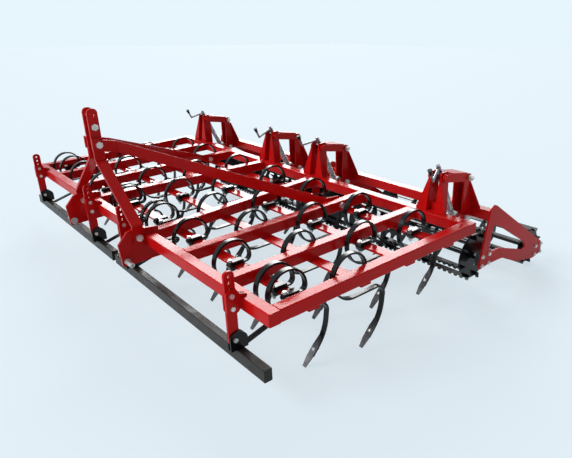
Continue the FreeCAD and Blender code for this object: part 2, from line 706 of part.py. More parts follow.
board_length = S.half_width - S.board_gap
board_wall = 4.0
board_outside = box(0, -S.board_height, S.board_depth, 0, 4)
board_inside = box(board_wall, board_wall - S.board_height, S.board_depth - board_wall, -board_wall, 1)
board_tube = plate("board_tube", "YZ_Plane", board_outside + board_inside, board_length)
board_ends = copies("board_ends", plate("board_end", "YZ_Plane", board_outside, board_wall),
                    [move(0), move(board_length - board_wall)])
board = joined("board", [board_tube, board_ends])
keep(copies("levelling_bars", board, [move(S.board_gap, board_front, board_top),
                                      move(-S.half_width, board_front, board_top)]))

post_bolts = []
reach = S.post_depth / 2 + bracket
for number, x in enumerate(hanger_x):
    for place, z, radius in ((0, bolt_low_z, 6.5), (1, bolt_high_z, 6.5), (2, pivot_z, 8)):
        name = "post_bolt_%d_%d" % (number, place)
        post_bolts.append(bolt(name, x - reach, x + reach, post_y, z, radius, 11))
keep(gathered("frame_bolts", bolts + post_bolts))

# Roller towers: front posts on the rear beam, links, and rear posts on the gang beams

pin_front = S.frame_length + S.link_front
pin_rear = pin_front + S.link_reach
upper_front = S.upper_pin_height
lower_front = upper_front - S.pin_spacing
upper_rear = upper_front - S.link_fall
lower_rear = lower_front - S.link_fall
pin_radius = S.link_pin / 2
cheek_in = S.tower_half_gap
cheek_out = cheek_in + S.cheek
link_in = cheek_out + 5.2
link_out = link_in + S.cheek
trunnion = (pin_front + 14.0, upper_front + 8.0)
trunnion_pin = 8.0
nut_along = 0.69
nut_pin = 10.0
nut_at = (pin_front + S.link_reach * nut_along, lower_front - S.link_fall * nut_along)
tower_x = (S.inner_tower, S.outer_tower)
front_edge = S.frame_length - S.post_edge
front_lean = 34.0
cheek_top = trunnion[1] + 24

front_cheek = rounded([
    (front_edge, 0, 0), (front_edge + front_lean, cheek_top, 14), (trunnion[0] + 22, cheek_top, 16),
    (trunnion[0] + 26, upper_front - 24, 30), (pin_front + 46, lower_front + 28, 20),
    (pin_front + 30, lower_front - 24, 18), (S.frame_length, lower_front - 24, 8), (S.frame_length, 0, 0)])
front_cheek += [circle(pin_front, lower_front, pin_radius),
                circle(trunnion[0], trunnion[1], trunnion_pin + 0.05)]


def leaning_plate(name, corners, y, low, rise, back):
    """A plate across the machine whose rear face starts at y and goes back by so much over its rise."""
    angle = math.degrees(math.atan2(back, rise))
    body = plate(name, "XZ_Plane", rounded(corners), "sizes.cheek")
    body.Placement = FreeCAD.Placement(V(0, y, low), FreeCAD.Rotation(V(1, 0, 0), -angle))
    return body


flank_rise = cheek_top - 30
flank_back = front_lean * flank_rise / cheek_top
flank_length = math.hypot(flank_rise, flank_back)
front_flank = leaning_plate("front_flank", [
    (cheek_out - 1, 0, 0), (S.front_foot, 0, 0), (cheek_out + 3, flank_length, 0),
    (cheek_out - 1, flank_length, 0)],
    front_edge + S.cheek, 0, flank_rise, flank_back)
front_side_plate = plate("front_cheek", "YZ_Plane", front_cheek, "sizes.cheek", (cheek_in, 0, 0))


def turned_boss(name):
    """The fixed pivot of an upper link: a pin from the cheek with a round cap outside the link."""
    end = link_out + 0.6
    return turned(name, [(cheek_out - 0.5, 0), (cheek_out - 0.5, pin_radius), (end, pin_radius), (end, 19),
                         (end + 7, 19), (end + 7, 0)], (0, pin_front, upper_front))


front_half = joined("front_half", [front_side_plate, front_flank, turned_boss("front_boss")])
bridge = plate("front_bridge", "XZ_Plane", box(-cheek_in - 1, -4, cheek_in + 1, 40), 6,
               (0, S.frame_length + 8, 0))
front_post = joined("front_post", [front_half, mirrored("front_half_other", front_half), bridge])
all_towers = (-S.outer_tower, -S.inner_tower, S.inner_tower, S.outer_tower)
keep(copies("front_posts", front_post, [move(x) for x in all_towers]))


def stub_pin(name):
    """A pin through one cheek and one link side, with a head outside and a nut inside."""
    inside = cheek_in - 9
    end = link_out + 0.6
    outline = [(inside, 0), (inside, 15), (cheek_in, 15), (cheek_in, pin_radius), (end, pin_radius),
               (end, 15), (end + 10, 15), (end + 10, 0)]
    return turned(name, outline, (0, 0, 0))


stub = stub_pin("stub_pin")
pin_pair = gathered("pin_pair", [stub, mirrored("stub_pin_other", stub)])
keep(copies("front_link_pins", pin_pair, [move(x, pin_front, lower_front) for x in all_towers]))

# Links, drawn from the front pin to the rear pin
hole = pin_radius + 0.05
fall = math.atan2(S.link_fall, S.link_reach)
across = V(math.sin(fall), math.cos(fall), 0)


def link_outline(z, half):
    front = V(pin_front, z, 0)
    rear = V(pin_rear, z - S.link_fall, 0)
    ahead = (rear - front).normalize()
    corners = [front - ahead * half - across * half, rear + ahead * half - across * half,
               rear + ahead * half + across * half, front - ahead * half + across * half]
    return rounded([(p.x, p.y, half - 0.5) for p in corners])


upper_half = 23.0
lower_half = 16.0
upper_edges = link_outline(upper_front, upper_half)
upper_edges += [circle(pin_front, upper_front, hole), circle(pin_rear, upper_rear, hole)]
lower_edges = link_outline(lower_front, lower_half)
lower_edges += [circle(pin_front, lower_front, hole), circle(pin_rear, lower_rear, hole),
                circle(nut_at[0], nut_at[1], nut_pin + 0.06)]
upper_side = plate("upper_side", "YZ_Plane", upper_edges, "sizes.cheek", (link_in, 0, 0))
lower_side = plate("lower_side", "YZ_Plane", lower_edges, "sizes.cheek", (link_in, 0, 0))


def slab(front, rear, above, below):
    """A plate between the two sides of a link, along the link."""
    first = V(pin_front, 0, 0)
    ahead = V(math.cos(fall), -math.sin(fall), 0)
    corners = []
    for reach, height in ((front, below), (rear, below), (rear, above), (front, above)):
        corners.append(first + ahead * reach + across * height)
    return rounded([(p.x, p.y, 0) for p in corners])


link_length = math.hypot(S.link_reach, S.link_fall)
top_slab = slab(56, link_length - 26, upper_half + 5, upper_half - 0.5)
top_sheet = plate("top_sheet", "YZ_Plane", top_slab, 2 * link_out, (-link_out, 0, upper_front))
cross_sheet = plate("cross_sheet", "YZ_Plane", slab(66, 96, 4, -4), 2 * link_in + 2,
                    (-link_in - 1, 0, lower_front))
upper_link = joined("upper_link", [upper_side, mirrored("upper_side_other", upper_side), top_sheet])
lower_link = joined("lower_link", [lower_side, mirrored("lower_side_other", lower_side), cross_sheet])

# Rear post: two cheeks on the gang beam and one plate behind them
beam_front = S.frame_length + S.gang_beam_behind
beam_top = -S.gang_beam_drop
cheek_foot = beam_front + 8
cheek_head = pin_rear + 26
rear_rise = upper_rear - 20 - beam_top
eye = 22.0
rear_cheek = rounded([
    (pin_rear - eye, lower_rear - eye, 18), (beam_front + 1, lower_rear - eye, 0),
    (beam_front + 1, beam_top - 1, 0), (cheek_foot, beam_top - 1, 0), (cheek_head, beam_top + rear_rise, 30),
    (pin_rear + eye, upper_rear + eye, 18), (pin_rear - eye, upper_rear + eye, 18)])
rear_cheek += [circle(pin_rear, upper_rear, pin_radius), circle(pin_rear, lower_rear, pin_radius)]
rear_side_plate = plate("rear_cheek", "YZ_Plane", rear_cheek, "sizes.cheek", (cheek_in, 0, 0))
rear_length = math.hypot(rear_rise, cheek_foot - cheek_head) - 10
rear_web = leaning_plate("rear_web", [
    (-S.rear_foot, 0, 0), (S.rear_foot, 0, 0), (cheek_out + 2, rear_length, 0),
    (-cheek_out - 2, rear_length, 0)],
    cheek_foot + S.cheek - 1, beam_top, rear_rise, cheek_head - cheek_foot)
rear_post = joined("rear_post", [rear_side_plate, mirrored("rear_cheek_other", rear_side_plate), rear_web])

# Height spindle: a screw turning in a block that tilts between the front cheeks, with a crank on top
lean = math.degrees(math.atan2(nut_at[0] - trunnion[0], trunnion[1] - nut_at[1]))
spindle_length = math.hypot(nut_at[0] - trunnion[0], trunnion[1] - nut_at[1])
block = 19.0
block_side = cheek_in - 5.0
pin_end = cheek_out - 1.0
crank_height = 46.0
head = upright("spindle_head", "sizes.spindle / 2", 0, 66)
thread = upright("thread", "sizes.thread / 2", -spindle_length - 38, -block + 1)
hub = upright("crank_hub", 13, block - 1, crank_height + 9)
tilt_block = plate("tilt_block", "XZ_Plane", box(-block_side, -block, block_side, block, 3), 2 * block,
                   (0, block, 0))
pivot_pins = shaft("trunnion_pins", trunnion_pin, 2 * pin_end, (-pin_end, 0, 0))
screw = joined("screw", [head, thread, hub, tilt_block, pivot_pins])
throw = doc.addObject("Part::Cylinder", "crank_throw")
bind(throw, Radius="sizes.crank_rod / 2", Height="sizes.crank_arm")
throw.Placement = FreeCAD.Placement(V(0, 0, crank_height), FreeCAD.Rotation(V(1, 0, 0), 90))
elbow = doc.addObject("Part::Sphere", "crank_elbow")
bind(elbow, Radius="sizes.crank_rod / 2")
elbow.Placement = move(0, -S.crank_arm, crank_height)
grip = upright("crank_grip", "sizes.crank_rod / 2", 0, 52)
grip.Placement = move(0, -S.crank_arm, crank_height)
crank = joined("crank", [throw, elbow, grip])
knob_at = crank_height + 44
knob = doc.addObject("Part::Cone", "knob")
bind(knob, Radius1="sizes.crank_rod / 2 + 2", Radius2=13, Height=32)
knob.Placement = move(0, -S.crank_arm, knob_at)
knob_bore = upright("knob_bore", "sizes.crank_rod / 2", 0, 8)
knob_bore.Placement = move(0, -S.crank_arm, knob_at)
crank_knob = cut("crank_knob", knob, knob_bore)

nut_side = 28.0
nut_depth = 26.0
nut_high = 20.0
nut_block = plate("nut_block", "XZ_Plane", box(-nut_side, -nut_high, nut_side, nut_high, 4), 2 * nut_depth,
                  (0, nut_depth, 0))
nut_pins = shaft("nut_pins", nut_pin, 2 * link_out, (-link_out, 0, 0))
nut_blank = joined("nut_blank", [nut_block, nut_pins])
nut_bore = upright("nut_bore", "sizes.thread / 2 + 1.3", -60, 60)
nut = cut("nut", nut_blank, nut_bore)


def leaning(x, y, z, turn=0.0):
    """A place on a spindle's line, turned about that line."""
    return move(x, y, z) * FreeCAD.Placement(V(0, 0, 0), FreeCAD.Rotation(V(1, 0, 0), lean)) * move(turn=turn)


# Gangs
gang_span = S.gang_outer - S.gang_inner
between_plates = gang_span - 2 * S.end_plate
gang_beam_tube = plate("gang_beam_tube", "YZ_Plane", tube_outline(S.tube, S.tube_wall), between_plates)

axle_front = (S.frame_length + S.front_axle_behind, -S.front_axle_drop)
axle_rear = (S.frame_length + S.rear_axle_behind, -S.rear_axle_drop)
fy, fz = axle_front
ry, rz = axle_rear
margin = S.plate_margin
arch_z = fz - S.plate_arch + 14
end_edges = rounded([
    (beam_front - 14, beam_top + 10, 10), (beam_front + 32, beam_top + 38, 14),
    (ry - 60, rz + 108, 40), (ry + margin - 14, rz + margin - 8, 24), (ry + margin - 4, rz - margin + 14, 22),
    (ry - margin - 4, rz - margin, 50), (fy + S.arch_reach + 170, fz - 128, 90),
    (fy + S.arch_reach, arch_z - 8, 60), (fy + margin - 20, arch_z, 40), (fy - margin - 10, fz - margin, 12)])
window = rounded([
    (beam_front + 28, beam_top - 86, 14), (beam_front + 100, beam_top - 112, 30), (ry - 186, rz + 106, 11),
    (ry - 160, rz + 64, 11), (ry - 182, rz + 50, 10), (fy + S.arch_reach - 44, fz + 32, 60),
    (fy + 62, fz + margin - 16, 11), (fy + 34, fz + margin, 11), (fy + 28, fz + margin + 36, 11)])
end_master = plate("end_master", "YZ_Plane", end_edges + window, "sizes.end_plate")

journal = S.journal / 2
flange_y = 45.0
flange_z = 41.0
bearing_edges = box(-flange_y, -flange_z, flange_y, flange_z, 14) + [circle(0, 0, journal + 0.05)]
bearing_master = plate("bearing_master", "YZ_Plane", bearing_edges, "sizes.bearing_depth")


end_room = S.bearing_depth + 12
usable = between_plates - 2 * end_room


def roller(name, bar_edges, bar_width, disc_radius, end_inset):
    """A shaft in its bearings, solid end discs, open inner discs, and bars round them, along x from 0."""
    core = shaft(name + "_core", "sizes.journal / 2", between_plates - 2, (1, 0, 0))
    spokes = [circle(disc_radius * 0.6 * math.cos(math.radians(angle)),
                     disc_radius * 0.6 * math.sin(math.radians(angle)), disc_radius * 0.21)
              for angle in range(30, 390, 60)]
    disc_depth = 8.0
    end_disc = plate(name + "_end_disc", "YZ_Plane", [circle(0, 0, disc_radius)], disc_depth)
    inner_disc = plate(name + "_inner_disc", "YZ_Plane", [circle(0, 0, disc_radius)] + spokes, disc_depth)
    first = end_room + end_inset
    disc_pitch = (usable - 2 * end_inset - disc_depth) / 4
    ends = copies(name + "_ends", end_disc, [move(first), move(first + 4 * disc_pitch)])
    inners = copies(name + "_inners", inner_disc, [move(first + disc_pitch * number) for number in (1, 2, 3)])
    bar = plate(name + "_bar", "XY_Plane", bar_edges, bar_width, (0, 0, -bar_width / 2))
    total = int(S.roller_bars)
    bars = copies(name + "_bars", bar, [
        FreeCAD.Placement(V(end_room, 0, 0), FreeCAD.Rotation(V(1, 0, 0), 360.0 * number / total + 11))
        for number in range(total)])
    return joined(name, [core, ends, inners, bars])


def toothed(outer, inner, pitch, depth):
    """A flat bar whose outer edge is cut into teeth."""
    corners = [(0, inner, 0)]
    count = int(usable / pitch)
    corners.append((usable, inner, 0))
    for number in range(count, 0, -1):
        x = usable * number / count
        step = usable / count
        corners += [(x - step * 0.1, outer, 0), (x - step * 0.45, outer, 0),
                    (x - step * 0.6, outer - depth, 0), (x - step * 0.95, outer - depth, 0)]
    return rounded(corners)


front_r = S.front_roller / 2
rear_r = S.rear_roller / 2
front_roller = roller("front_roller", toothed(front_r, front_r - 34, 38.0, 10.0), 8, front_r - 11, 27)
rear_bar = box(0, rear_r - 24, usable, rear_r)
rear_roller = roller("rear_roller", rear_bar, 8, rear_r - 12, 18)

# Each crank was left at its own turn about its spindle, in degrees, from the inner tower outward
crank_turns = {"left": (-42.0, 20.0), "right": (-6.0, -38.0)}

for hand, label in ((1, "left"), (-1, "right")):
    start = S.gang_inner if hand > 0 else -S.gang_outer
    towers = [hand * x for x in tower_x]
    keep(copies(label + "_lower_links", lower_link, [move(x) for x in towers]))
    keep(copies(label + "_upper_links", upper_link, [move(x) for x in towers]))
    spindles = []
    for number, x in enumerate(towers):
        place = leaning(x, trunnion[0], trunnion[1])
        turned_place = leaning(x, trunnion[0], trunnion[1], crank_turns[label][number])
        spindles.append(joined("%s_spindle_%d" % (label, number), [
            copies("%s_screw_%d" % (label, number), screw, [place]),
            copies("%s_crank_%d" % (label, number), crank, [turned_place])]))
    keep(gathered(label + "_spindles", spindles))
    keep(copies(label + "_crank_knobs", crank_knob, [
        leaning(x, trunnion[0], trunnion[1], turn) for x, turn in zip(towers, crank_turns[label])]))
    keep(copies(label + "_spindle_nuts", nut, [leaning(x, nut_at[0], nut_at[1]) for x in towers]))
    keep(joined(label + "_gang_beam", [
        copies(label + "_gang_tube", gang_beam_tube,
               [move(start + S.end_plate, beam_front + half_tube, beam_top - half_tube)]),
        copies(label + "_rear_posts", rear_post, [move(x) for x in towers])]))
    places = []
    for x in towers:
        places += [move(x, pin_rear, upper_rear), move(x, pin_rear, lower_rear)]
    keep(copies(label + "_rear_link_pins", pin_pair, places))
    keep(copies(label + "_end_plates", end_master, [move(start), move(start + gang_span - S.end_plate)]))
    places = []
    inner_seat = start + S.end_plate
    outer_seat = inner_seat + between_plates - S.bearing_depth
    for y, z in (axle_front, axle_rear):
        places += [move(inner_seat, y, z), move(outer_seat, y, z)]
    keep(copies(label + "_bearings", bearing_master, places))
    keep(copies(label + "_front_roller", front_roller, [move(start + S.end_plate, fy, fz)]))
    keep(copies(label + "_rear_roller", rear_roller, [move(start + S.end_plate, ry, rz)]))

doc.recompute()

# Stance: the machine parks on the points of its first row and on its rear rollers

tip = V(row_y[0] + min(point_end.x, heel.x), tine_low, 0)
ahead_of_axle = tip.x - ry
below_axle = tip.y - rz
span = math.hypot(ahead_of_axle, below_axle)
pitch = math.asin(-rear_r / span) - math.atan2(below_axle, ahead_of_axle)
pitch = (pitch + math.pi) % (2 * math.pi) - math.pi
if abs(pitch) > math.pi / 2:
    pitch = math.pi - math.asin(-rear_r / span) - math.atan2(below_axle, ahead_of_axle)
    pitch = (pitch + math.pi) % (2 * math.pi) - math.pi
tilt = FreeCAD.Rotation(V(1, 0, 0), math.degrees(pitch))


def lay(offset):
    for node in nodes:
        node.Placement = FreeCAD.Placement(offset, tilt)
    doc.recompute()


def bounds():
    box = FreeCAD.BoundBox()
    for node in nodes:
        box.add(node.Shape.optimalBoundingBox(False, False))
    return box


lay(V(0, 0, 0))
box = bounds()
offset = V(0, -(box.YMin + box.YMax) / 2, -box.ZMin)
lay(offset)

# Every piece is sound before it is written

for item in doc.Objects:
    if "Invalid" in item.State or "Error" in item.State:
        raise RuntimeError("%s has state %s" % (item.Name, item.State))
for node in nodes:
    if node.Shape.isNull() or not node.Shape.isValid():
        raise RuntimeError("%s has no sound shape" % node.Label)

os.makedirs("parts", exist_ok=True)
for node in nodes:
    node.Shape.exportStep("parts/%s.step" % node.Label)
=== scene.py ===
# %% [markdown]
# # A seedbed cultivator
# The machine loosens and levels soil behind a tractor. Its steel, from the frame to the rollers, comes
# ready-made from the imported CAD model, and none of that is changed here. This lesson dresses it: first the
# finishes, then the small parts that the CAD model leaves out, such as bolts, threads and weld beads, and
# last the floor, the light and the camera.

import json
import math

import bpy
from mathutils import Matrix, Vector
from mathutils.bvhtree import BVHTree


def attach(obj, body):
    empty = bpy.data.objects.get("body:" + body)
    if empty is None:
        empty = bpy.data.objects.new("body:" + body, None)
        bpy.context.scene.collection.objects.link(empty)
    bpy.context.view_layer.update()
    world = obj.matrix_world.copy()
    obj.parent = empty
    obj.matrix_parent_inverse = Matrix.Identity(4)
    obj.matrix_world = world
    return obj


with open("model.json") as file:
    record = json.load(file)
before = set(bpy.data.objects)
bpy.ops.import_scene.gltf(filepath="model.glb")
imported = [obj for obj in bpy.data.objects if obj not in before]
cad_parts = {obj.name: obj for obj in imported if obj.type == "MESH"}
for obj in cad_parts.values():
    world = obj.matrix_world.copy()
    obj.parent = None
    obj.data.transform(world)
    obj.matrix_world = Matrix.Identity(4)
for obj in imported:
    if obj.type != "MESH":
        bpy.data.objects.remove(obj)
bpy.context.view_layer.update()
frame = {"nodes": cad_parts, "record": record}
nodes = frame["nodes"]

# %% [markdown]
# ## Sums with sockets
# A finish is a sum of patterns. Math nodes can be placed by hand and wired one by one, but a sum then takes
# a dozen lines and can't be read back. Here a Value wraps a socket, and its operators add the Math nodes,
# so that 1 - wear * 0.5 is written as it is spoken. A NodeMaker adds every other kind of node.


# %% Node maker
class NodeMaker:
    """A node tree that is being built."""

    def __init__(self, tree):
        self.tree = tree

    def plug(self, socket, value):
        """Links a socket, or sets its own value. A list goes into a socket that takes many links."""
        for item in value if isinstance(value, list) else [value]:
            source = item.socket if isinstance(item, Value) else item
            if isinstance(source, bpy.types.NodeSocket):
                self.tree.links.new(source, socket)
            else:
                socket.default_value = source

    def node(self, kind, settings=None, sockets=None):
        """Adds a node: its settings first, then the values or links of its sockets."""
        node = self.tree.nodes.new(kind)
        for label, value in (settings or {}).items():
            setattr(node, label, value)
        for key, value in (sockets or {}).items():
            self.plug(node.inputs[key], value)
        return node

    def value(self, kind, settings=None, sockets=None, output=0):
        """Adds a node and hands on one of its outputs."""
        return Value(self, self.node(kind, settings, sockets).outputs[output])

    def first(self, kind):
        """The node of a kind that a new tree already has."""
        return next(node for node in self.tree.nodes if node.type == kind)


# %% Values
class Value:
    """A socket whose operators add Math nodes."""

    def __init__(self, maker, socket):
        self.maker = maker
        self.socket = socket

    def maths(self, operation, *terms):
        return self.maker.value("ShaderNodeMath", {"operation": operation}, dict(enumerate(terms)))

    def __add__(self, other):
        return self.maths("ADD", self, other)

    def __radd__(self, other):
        return self.maths("ADD", other, self)

    def __sub__(self, other):
        return self.maths("SUBTRACT", self, other)

    def __rsub__(self, other):
        return self.maths("SUBTRACT", other, self)

    def __mul__(self, other):
        return self.maths("MULTIPLY", self, other)

    def __rmul__(self, other):
        return self.maths("MULTIPLY", other, self)

    def __truediv__(self, other):
        return self.maths("DIVIDE", self, other)

    def __rtruediv__(self, other):
        return self.maths("DIVIDE", other, self)

    def sine(self):
        return self.maths("SINE", self)

    def or_more(self, other):
        return self.maths("MAXIMUM", self, other)

    def step(self, low, high, to_low=0.0, to_high=1.0):
        """Takes low..high to to_low..to_high, with soft ends."""
        return self.maker.value("ShaderNodeMapRange", {"interpolation_type": "SMOOTHSTEP"}, {
            "Value": self, "From Min": low, "From Max": high, "To Min": to_low, "To Max": to_high})


# %% [markdown]
# ## A surface
# Each finish is one Principled shader. Its patterns come from noise on Object coordinates, because every
# piece sits at the origin: a pattern then has the same scale in metres on all of them and stays in place
# when a piece moves. An image texture would need unwrapped pieces, and noise needs none.


# %% Surface
class Surface(NodeMaker):
    """A finish that is being mixed, with the patterns that feed its shader."""

    def __init__(self, name):
        self.name = name
        self.material = bpy.data.materials.new(name)
        self.material.use_nodes = True
        super().__init__(self.material.node_tree)
        self.shader = self.first("BSDF_PRINCIPLED")
        self.place = self.value("ShaderNodeTexCoord", output="Object")

    def noise(self, scale, detail=3.0, stretch=None):
        """Soft noise over the object, its scale in cycles a metre."""
        place = self.place
        if stretch:
            place = self.value("ShaderNodeMapping", sockets={"Vector": place, "Scale": stretch})
        sockets = {"Vector": place, "Scale": scale, "Detail": detail}
        return self.value("ShaderNodeTexNoise", sockets=sockets, output="Fac")

    def height(self):
        """Metres above the ground."""
        return self.value("ShaderNodeSeparateXYZ", sockets={0: self.place}, output="Z")

    def blend(self, amount, under, over):
        """One colour over another. The colours of a Mix node are its sockets 6 and 7, and its output 2."""
        under, over = ((*colour, 1.0) if isinstance(colour, tuple) else colour for colour in (under, over))
        return self.value("ShaderNodeMix", {"data_type": "RGBA"}, {0: amount, 6: under, 7: over}, output=2)

    def feed(self, socket, value):
        self.plug(self.shader.inputs[socket], value)

    def grain(self, pattern, depth):
        """Relief of a depth in metres."""
        self.feed("Normal", self.value("ShaderNodeBump", sockets={
            "Strength": 1.0, "Distance": depth, "Height": pattern}))

    def done(self):
        FINISHES[self.name] = self.material
        print("mixed", self.name, "nodes", len(self.tree.nodes))


FINISHES = {}

# %% [markdown]
# ## Red gloss paint
# The frame, hitch, towers and end plates are sprayed in one gloss red. A flat red looks like plastic, and a
# clear coat over it mirrors the pale floor and turns the red pink. So the paint is one deep layer that drifts
# between two reds, with weak mirroring, uneven gloss and a fine orange peel.

# %% Red gloss paint
SCARLET = (0.54, 0.0056, 0.0054)
DEEP_RED = (0.43, 0.0040, 0.0040)
DUST = (0.30, 0.23, 0.16)


def mix_red_paint():
    red = Surface("red_paint")
    drift = red.noise(scale=2.2).step(0.35, 0.7)
    dusty = red.noise(scale=9.0, detail=5.0).step(0.55, 0.8) * 0.01
    red.feed("Base Color", red.blend(dusty, red.blend(drift, SCARLET, DEEP_RED), DUST))
    red.feed("Roughness", red.noise(scale=14.0, detail=4.0).step(0.3, 0.75, 0.14, 0.24))
    red.feed("Specular IOR Level", 0.10)
    red.grain(red.noise(scale=420.0, detail=2.0), depth=0.00008)
    red.done()


mix_red_paint()

# %% [markdown]
# ## Black enamel
# Tines, clamps, rollers and lugs are black. The enamel is close to black but not quite, since a surface that
# gives back no light shows no shape; its highlights draw the loops of the springs.

# %% Black enamel
def mix_black_enamel():
    black = Surface("black_enamel")
    drift = black.noise(scale=6.0).step(0.35, 0.7)
    base = black.blend(drift, (0.0030, 0.0030, 0.0033), (0.0055, 0.0055, 0.0060))
    dusty = black.noise(scale=18.0, detail=6.0).step(0.6, 0.85) * 0.03
    black.feed("Base Color", black.blend(dusty, base, DUST))
    black.feed("Roughness", black.noise(scale=20.0, detail=4.0).step(0.3, 0.75, 0.15, 0.26))
    black.feed("Specular IOR Level", 0.22)
    black.grain(black.noise(scale=300.0, detail=2.0), depth=0.0001)
    black.done()


mix_black_enamel()

# %% [markdown]
# ## Worn points
# The soil scours the paint off the tip of each point. Wear could be painted by hand on thirty points. The
# height above the ground does it for all of them: full at the tip, gone above, and broken up by noise.

# %% Worn points
WORN_BELOW, PAINTED_ABOVE = 0.04, 0.13


def mix_point_steel():
    point = Surface("point_steel")
    scoured = 1 - point.height().step(WORN_BELOW, PAINTED_ABOVE)
    wear = scoured * point.noise(scale=30.0, detail=5.0).step(0.3, 0.7, 0.5, 1.0)
    point.feed("Base Color", point.blend(wear, (0.010, 0.010, 0.011), (0.13, 0.13, 0.135)))
    scratches = point.noise(scale=60.0, detail=4.0, stretch=(1.0, 6.0, 6.0))
    point.feed("Roughness", scratches.step(0.3, 0.7, 0.26, 0.42))
    point.feed("Metallic", 0.5)
    point.grain(point.noise(scale=220.0, detail=3.0), depth=0.0002)
    point.done()


mix_point_steel()

# %% [markdown]
# ## Levelling bars
# The two bars that drag over the soil are dark brown and scuffed, with rust where they rub. The noise is
# stretched along the bars, because that is how a bar is rolled and how it wears.

# %% Levelling bars
def mix_bar_brown():
    bar = Surface("bar_brown")
    drift = bar.noise(scale=5.0, detail=5.0, stretch=(0.35, 1.0, 1.0)).step(0.35, 0.7)
    base = bar.blend(drift, (0.018, 0.016, 0.014), (0.030, 0.026, 0.022))
    rust = bar.noise(scale=26.0, detail=6.0).step(0.58, 0.8) * 0.18
    bar.feed("Base Color", bar.blend(rust, base, (0.10, 0.03, 0.02)))
    bar.feed("Roughness", bar.noise(scale=22.0, detail=4.0).step(0.3, 0.75, 0.3, 0.45))
    bar.feed("Specular IOR Level", 0.18)
    bar.grain(bar.noise(scale=160.0, detail=4.0), depth=0.0003)
    bar.done()


mix_bar_brown()

# %% [markdown]
# ## Bright steel and zinc
# Pins, spindles and bolts are bare or zinc-plated. Fully metallic steel shows only what it mirrors, and under
# red beams small bolt heads would look red. Part of the metal is therefore given as plain pale colour.

# %% Bright steel and zinc
def mix_bright_steel(name, tint, smooth, dull, metallic):
    steel = Surface(name)
    shade = tuple(0.78 * part for part in tint)
    steel.feed("Base Color", steel.blend(steel.noise(scale=40.0, detail=4.0).step(0.3, 0.7), tint, shade))
    steel.feed("Roughness", steel.noise(scale=90.0, detail=4.0).step(0.3, 0.7, smooth, dull))
    steel.feed("Metallic", metallic)
    steel.grain(steel.noise(scale=500.0, detail=2.0), depth=0.00006)
    steel.done()


mix_bright_steel("pin_steel", (0.58, 0.57, 0.55), 0.24, 0.4, metallic=0.7)
mix_bright_steel("spindle_steel", (0.30, 0.30, 0.31), 0.2, 0.35, metallic=1.0)
mix_bright_steel("zinc_bolts", (0.72, 0.71, 0.68), 0.22, 0.38, metallic=0.6)

# %% [markdown]
# ## Bearings and knobs
# The bearing housings are cast iron, dull and slightly pitted, so their grain is deep. The knobs of the
# cranks are moulded plastic, smoother and with a much finer grain.

# %% Bearings and knobs
def mix_bearing_iron():
    iron = Surface("bearing_iron")
    drift = iron.noise(scale=30.0, detail=5.0).step(0.35, 0.7)
    iron.feed("Base Color", iron.blend(drift, (0.022, 0.022, 0.024), (0.04, 0.039, 0.038)))
    iron.feed("Roughness", iron.noise(scale=40.0, detail=4.0).step(0.3, 0.7, 0.4, 0.6))
    iron.grain(iron.noise(scale=350.0, detail=4.0), depth=0.0005)
    iron.done()


def mix_knob_plastic():
    knob = Surface("knob_plastic")
    drift = knob.noise(scale=30.0).step(0.3, 0.7)
    knob.feed("Base Color", knob.blend(drift, (0.006, 0.006, 0.0065), (0.011, 0.011, 0.012)))
    knob.feed("Roughness", knob.noise(scale=120.0, detail=3.0).step(0.3, 0.7, 0.22, 0.34))
    knob.feed("Specular IOR Level", 0.3)
    knob.grain(knob.noise(scale=900.0, detail=2.0), depth=0.00008)
    knob.done()


mix_bearing_iron()
mix_knob_plastic()

# %% [markdown]
# ## Dressing the frame
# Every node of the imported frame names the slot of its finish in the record. One loop gives each node its
# material, so no piece is missed and the shapes stay as they are.

# %% Dress the frame
for entry in frame["record"]["subparts"]:
    piece = nodes[entry["node"]]
    piece.data.materials.clear()
    piece.data.materials.append(FINISHES[entry["material_slot"]])

# %% [markdown]
# ## Places on a level machine
# The machine stands nose down by a few degrees, on its front points and its rear rollers. Small parts are far
# easier to place on a level machine: x across, y rearward from the front of the frame and z up from its top,
# in millimetres. One matrix takes such a place into the scene, and its inverse takes it back.

# %% Level places
NOSE_DOWN = math.radians(3.77797)
LEVEL = Matrix.Translation((0.0, -1.116265, 0.435571)) @ Matrix.Rotation(NOSE_DOWN, 4, "X")
SIDES = (("left", 1), ("right", -1))


def spot(x, y, z):
    """A place on the level machine, in the scene."""
    return LEVEL @ (Vector((x, y, z)) / 1000.0)


def facing(x, y, z):
    """A direction on the level machine, in the scene."""
    return (LEVEL.to_3x3() @ Vector((x, y, z))).normalized()


def level_place(point):
    """The way back: a place in the scene, on the level machine."""
    return LEVEL.inverted() @ Vector(point) * 1000.0


print("the frame's front edge is", round(spot(0, 0, 0).z * 1000), "mm up")

# %% [markdown]
# ## Finding the solids of a node
# All clamps are one node, and so are the points and the link pins. To put a bolt on each, the node is taken
# apart again: corners that an edge joins belong together, and each group gets its own box. The places could
# be typed in one by one too, but these follow the frame when it changes.


# %% Loose solids
def loose_solids(node):
    """The lowest and highest corner of each separate solid of a node."""
    mesh = nodes[node].data
    home = list(range(len(mesh.vertices)))

    def root(index):
        while home[index] != index:
            home[index] = home[home[index]]
            index = home[index]
        return index

    seen = {}
    for vertex in mesh.vertices:
        key = tuple(round(part, 5) for part in vertex.co)
        home[vertex.index] = seen.setdefault(key, vertex.index)
    for edge in mesh.edges:
        one, other = sorted(root(end) for end in edge.vertices)
        home[other] = one
    groups = {}
    for vertex in mesh.vertices:
        groups.setdefault(root(vertex.index), []).append(vertex.co)
    return [(Vector([min(point[k] for point in points) for k in range(3)]),
             Vector([max(point[k] for point in points) for k in range(3)])) for points in groups.values()]


CLAMPS = loose_solids("tine_clamps")
POINTS = loose_solids("tine_points")
print("clamps", len(CLAMPS), "points", len(POINTS))

